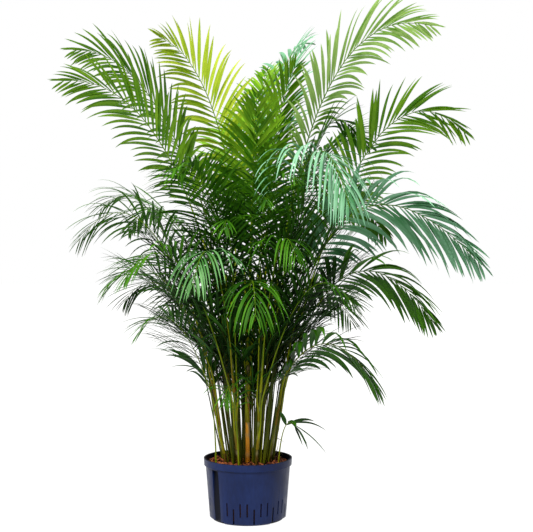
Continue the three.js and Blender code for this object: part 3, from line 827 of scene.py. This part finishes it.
# The middle and high stems get the dark leaf finish, which is painted shade.
inner_pieces = [
    grow_inner_stems("inner_stems_low", feet[:third], (0.35, 0.55), (0.16, 0.24), "green", rng),
    grow_inner_stems("inner_stems_middle", feet[third:2 * third], (0.45, 0.7), (0.18, 0.28),
                     "dark", rng),
    grow_inner_stems("inner_stems_high", feet[2 * third:], (0.6, 0.95), (0.2, 0.3), "dark", rng),
]
print(len(feet), "inner stems")

# %% [markdown]
# ## Cane finishes
#
# An areca cane is smooth and olive green, with a pale ring where each old leaf has fallen, fine
# streaks along it, and browner towards the clay. One cane has dried to a golden orange at its foot.
# The rings are carried as a number at the corners, so that colour and shape agree.

# %% Cane finishes
def cane_finish(name, *stops):
    material, tree, shader, _ = new_material(name)
    streaks = noise_node(tree, 55, stretch=(1, 1, 0.06))
    level = math_node(tree, "ADD", mark_value(tree, "height"),
                      math_node(tree, "MULTIPLY", math_node(tree, "SUBTRACT", streaks, 0.5), 0.6))
    color = ramp_node(tree, level, *stops)
    color = mix_color(tree, math_node(tree, "MULTIPLY", mark_value(tree, "ring"), 0.4), color,
                      (0.30, 0.28, 0.16))
    tree.links.new(color, shader.inputs["Base Color"])
    shader.inputs["Roughness"].default_value = 0.4
    shader.inputs["Specular IOR Level"].default_value = 0.25
    bump_node(tree, streaks, 0.35, 0.001, shader)
    return material


green_cane = cane_finish("green_cane_skin", (0.0, (0.09, 0.05, 0.004)), (0.15, (0.13, 0.12, 0.003)),
                         (0.5, (0.10, 0.13, 0.002)), (1.0, (0.05, 0.10, 0.002)))
golden_cane = cane_finish("golden_cane_skin", (0.0, (0.55, 0.19, 0.01)), (0.26, (0.80, 0.34, 0.02)),
                          (0.31, (0.30, 0.22, 0.08)), (0.37, (0.26, 0.12, 0.01)),
                          (0.55, (0.14, 0.09, 0.006)), (0.7, (0.08, 0.09, 0.004)))

# %% [markdown]
# ## Canes
#
# Each cane is one tube on the line of its CAD cane, slightly swollen at its rings, and drawn in to
# a soft point at the top, where the newest leaves come out of it.

# %% Build the canes
CANE_SIDES = 20
RING_SPACING = 0.052
RING_SWELL = 0.0011
CANE_STATION = 0.006
circle = np.array([(math.cos(a), math.sin(a)) for a in np.arange(CANE_SIDES) * math.tau / CANE_SIDES])


def build_cane(name, cane, rng):
    (foot, _), (top, _) = cane
    heights = np.arange(foot[2], top[2], CANE_STATION)
    joints = []
    height = soil_level + rng.uniform(0.01, 0.04)
    while height < top[2] - 0.05:
        joints.append(height)
        height += RING_SPACING * rng.uniform(0.75, 1.3)
    rings = []
    marks = []
    for height in heights:
        middle, radius = cane_at(cane, height)
        near = min((abs(height - joint) for joint in joints), default=1)
        swell = math.exp(-((near / 0.006) ** 2))
        close = min(1.0, math.sqrt(max(0.0004, (top[2] - height) / 0.05)))
        radius = (radius - 0.0004 + RING_SWELL * swell) * close
        rings.append([middle + np.array([x, y, 0]) * radius for x, y in circle])
        marks.append(swell)
    shape = Shape("ring", "height")
    shape.tube(rings, ring=np.array(marks)[:, None],
               height=((heights - soil_level) / (top[2] - soil_level))[:, None])
    piece = shape.build(name + "_skin", golden_cane if name == GOLDEN_CANE else green_cane)
    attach(piece, "root")
    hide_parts(name)
    return piece


rng = random.Random(3)
cane_pieces = [build_cane(name, cane, rng) for name, cane in canes.items()]
print(len(cane_pieces), "canes")

# %% [markdown]
# ## Dry remains
#
# A clump of this age keeps some dead bits at its foot: the dry point of a lost shoot on the left,
# and a few wiry roots on the right. Each is a thin tube bent through three points and drawn out to
# a point. They are too slight for the CAD model, so they stand for none of its nodes.

# %% Dry remains
DRY_TWIGS = [
    ((-0.074, -0.045, 0.24), (-0.090, -0.048, 0.29), (-0.099, -0.050, 0.325)),
    ((0.085, -0.030, 0.19), (0.100, -0.040, 0.225), (0.113, -0.045, 0.200)),
    ((0.086, -0.020, 0.20), (0.101, -0.030, 0.235), (0.095, -0.035, 0.258)),
    ((0.090, -0.030, 0.255), (0.108, -0.035, 0.252), (0.119, -0.030, 0.236)),
    ((0.098, -0.030, 0.178), (0.105, -0.035, 0.206), (0.110, -0.042, 0.182)),
]
TWIG_THICKNESS = 0.0011
TWIG_STEPS = 12
dry_finish, tree, shader, _ = new_material("dry_twig")
tree.links.new(ramp_node(tree, noise_node(tree, 300, 4), (0.3, (0.020, 0.010, 0.004)),
                         (0.6, (0.070, 0.040, 0.018)), (0.8, (0.16, 0.11, 0.06))),
               shader.inputs["Base Color"])
shader.inputs["Roughness"].default_value = 0.85


def twig_rings(start, bend, tip):
    """Rings along a curve from start to tip that leans towards the bend."""
    start, bend, tip = (np.array(point) for point in (start, bend, tip))
    rings = []
    for share in np.linspace(0, 1, TWIG_STEPS):
        middle = (1 - share)**2 * start + 2 * share * (1 - share) * bend + share**2 * tip
        onward = unit((1 - share) * (bend - start) + share * (tip - bend))
        side = unit(np.cross(onward, (0, 1, 0.2)))
        above = np.cross(onward, side)
        thick = TWIG_THICKNESS * (1.05 - share)
        rings.append([middle + thick * (x * side + y * above) for x, y in ROUND_SECTION])
    return np.array(rings)


shape = Shape("age")
for twig in DRY_TWIGS:
    shape.tube(twig_rings(*twig))
twigs = shape.build("dry_remains", dry_finish)
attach(twigs, "root")
print(len(DRY_TWIGS), "dry twigs")

# %% [markdown]
# ## Clay granules
#
# Hydroculture plants stand in fired clay: red-brown granules a little under a centimetre across.
# The CAD solid is the bed, which shows through the pot's slots, and keeps its shape with a rough
# clay finish, a darker copy of the granules' colour that is painted shade inside the pot. On top lie
# separate granules, each a lumpy ball made from one subdivided icosphere whose corners are pushed in
# and out.

# %% Clay finish
def clay_finish(name, dark, middle, light):
    material, tree, shader, _ = new_material(name)
    where = tree.nodes.new("ShaderNodeTexCoord")
    cells = tree.nodes.new("ShaderNodeTexVoronoi")
    cells.inputs["Scale"].default_value = 110
    tree.links.new(where.outputs["Object"], cells.inputs["Vector"])
    grain = noise_node(tree, 320, 4)
    tone = math_node(tree, "ADD", math_node(tree, "MULTIPLY", mark_value(tree, "shade"), 0.6),
                     math_node(tree, "MULTIPLY", grain, 0.5))
    tree.links.new(ramp_node(tree, tone, (0.25, dark), (0.5, middle), (0.82, light)),
                   shader.inputs["Base Color"])
    shader.inputs["Roughness"].default_value = 0.9
    shader.inputs["Specular IOR Level"].default_value = 0.15
    height = math_node(tree, "SUBTRACT", math_node(tree, "MULTIPLY", grain, 0.25),
                       cells.outputs["Distance"])
    bump_node(tree, height, 0.8, 0.003, shader)
    return material


# The bed's darker clay colour is painted shade for the clay inside the pot.
bed_painted_shade_finish = clay_finish("clay_bed_painted_shade", (0.010, 0.002, 0.001), (0.03, 0.006, 0.002), (0.12, 0.03, 0.01))
granule_finish = clay_finish("clay_granule", (0.012, 0.002, 0.001), (0.06, 0.012, 0.004),
                             (0.30, 0.09, 0.030))
bed = nodes["clay_granules"]
for slot in bed.material_slots:
    slot.material = bed_painted_shade_finish

# %% Lay the granules
GRANULES = 1500
GRANULE_RADIUS = 0.0046
clay_low, clay_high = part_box("clay_granules")
clay_radius = 0.5 * (clay_high.x - clay_low.x) - 0.004
ball = bmesh.new()
bmesh.ops.create_icosphere(ball, subdivisions=2, radius=1)
ball_corners = np.array([vertex.co for vertex in ball.verts])
ball_faces = [[vertex.index for vertex in face.verts] for face in ball.faces]
ball.free()


def granule(middle, radius, rng):
    """The corners of one lumpy granule."""
    lumps = np.ones(len(ball_corners))
    for _ in range(4):
        lobe = unit(np.array([rng.gauss(0, 1) for _ in range(3)]))
        lumps += rng.uniform(-0.16, 0.16) * (ball_corners @ lobe)**2
    stretch = np.array([rng.uniform(0.75, 1.2) for _ in range(3)])
    turn = rng.uniform(0, math.tau)
    spin = np.array([[math.cos(turn), -math.sin(turn), 0], [math.sin(turn), math.cos(turn), 0], [0, 0, 1]])
    return middle + radius * (ball_corners * lumps[:, None] * stretch) @ spin


def lay_granules(rng):
    corners, faces, shades = [], [], []
    placed = 0
    while placed < GRANULES:
        radius = clay_radius * math.sqrt(rng.random())
        angle = rng.uniform(0, math.tau)
        x, y = radius * math.cos(angle), radius * math.sin(angle)
        size = GRANULE_RADIUS * rng.uniform(0.65, 1.35)
        near = min(math.hypot(x - m[0], y - m[1]) - thick for m, thick in cane_feet)
        if near < size * 0.7 or radius > clay_radius - size:
            continue
        crown = clay_high.z - 0.006 * (radius / clay_radius) ** 2
        middle = np.array([x, y, crown + rng.uniform(-0.8, 0.45) * size])
        base = placed * len(ball_corners)
        corners.append(granule(middle, size, rng))
        faces += [[base + i for i in face] for face in ball_faces]
        shades += [rng.uniform(0, 1)] * len(ball_corners)
        placed += 1
    mesh = bpy.data.meshes.new("clay_granule_layer")
    mesh.from_pydata(np.concatenate(corners).tolist(), [], faces)
    mesh.attributes.new("shade", "FLOAT", "POINT").data.foreach_set("value", shades)
    mesh.shade_smooth()
    mesh.materials.append(granule_finish)
    layer = bpy.data.objects.new("clay_granule_layer", mesh)
    scene.collection.objects.link(layer)
    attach(layer, "root")
    return layer


granule_layer = lay_granules(random.Random(5))
print(GRANULES, "granules on the clay")

# %% [markdown]
# ## The grow pot
#
# The pot is moulded from dark blue plastic with a satin face. Inside, in its slots and down in the
# gauge channel its faces get a nearly black copy of the finish, which is painted shade. A copy of
# the CAD mesh has its slots, rim band and gauge channel exactly. Joining its flat triangles,
# bevelling its edges and shading it smooth gives it the soft corners of a moulding, which catch the light.

# %% Pot finishes
def pot_plastic(name, dark, middle, light):
    material, tree, shader, _ = new_material(name)
    cloud = noise_node(tree, 9, 5)
    scuff = noise_node(tree, 160, 6, stretch=(1, 1, 0.25))
    tone = math_node(tree, "ADD", math_node(tree, "MULTIPLY", cloud, 0.7),
                     math_node(tree, "MULTIPLY", scuff, 0.3))
    tree.links.new(ramp_node(tree, tone, (0.3, dark), (0.5, middle), (0.72, light)),
                   shader.inputs["Base Color"])
    tree.links.new(ramp_node(tree, scuff, (0.3, (0.30, 0.30, 0.30)), (0.75, (0.52, 0.52, 0.52))),
                   shader.inputs["Roughness"])
    shader.inputs["Specular IOR Level"].default_value = 0.16
    bump_node(tree, scuff, 0.12, 0.0006, shader)
    return material


pot_finish = pot_plastic("pot_plastic_satin", (0.003, 0.008, 0.038), (0.005, 0.013, 0.062),
                         (0.009, 0.021, 0.090))
recess_painted_shade_finish = pot_plastic("pot_plastic_painted_shade", (0.0005, 0.001, 0.004), (0.001, 0.002, 0.008),
                            (0.002, 0.005, 0.020))

# %% Refine the pot
EDGE_ROUND = 0.0007
RECESS_DEPTH = 0.0016
pot_mesh = bmesh.new()
pot_mesh.from_mesh(nodes["pot"].data)
bmesh.ops.remove_doubles(pot_mesh, verts=pot_mesh.verts, dist=1e-6)
bmesh.ops.dissolve_limit(pot_mesh, angle_limit=math.radians(1), verts=pot_mesh.verts,
                         edges=pot_mesh.edges)
outer_radius = {}
for vertex in pot_mesh.verts:
    level = round(vertex.co.z, 4)
    outer_radius[level] = max(outer_radius.get(level, 0), math.hypot(vertex.co.x, vertex.co.y))
levels = sorted(outer_radius)
for face in pot_mesh.faces:
    middle = face.calc_center_median()
    wall = np.interp(middle.z, levels, [outer_radius[level] for level in levels])
    # Faces set back from the outer wall get the near-black copy: painted shade.
    face.material_index = int(wall - math.hypot(middle.x, middle.y) > RECESS_DEPTH)
mesh = bpy.data.meshes.new("grow_pot")
pot_mesh.to_mesh(mesh)
pot_mesh.free()
mesh.materials.append(pot_finish)
mesh.materials.append(recess_painted_shade_finish)
pot = bpy.data.objects.new("grow_pot", mesh)
scene.collection.objects.link(pot)
rounding = pot.modifiers.new("rounding", "BEVEL")
rounding.width = EDGE_ROUND
rounding.segments = 2
rounding.limit_method = "ANGLE"
rounding.angle_limit = math.radians(35)
rounding.harden_normals = False
mesh.shade_smooth()
mesh.set_sharp_from_angle(angle=math.radians(30))
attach(pot, "root")
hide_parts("pot")
print("pot", [round(v, 3) for v in pot.dimensions])
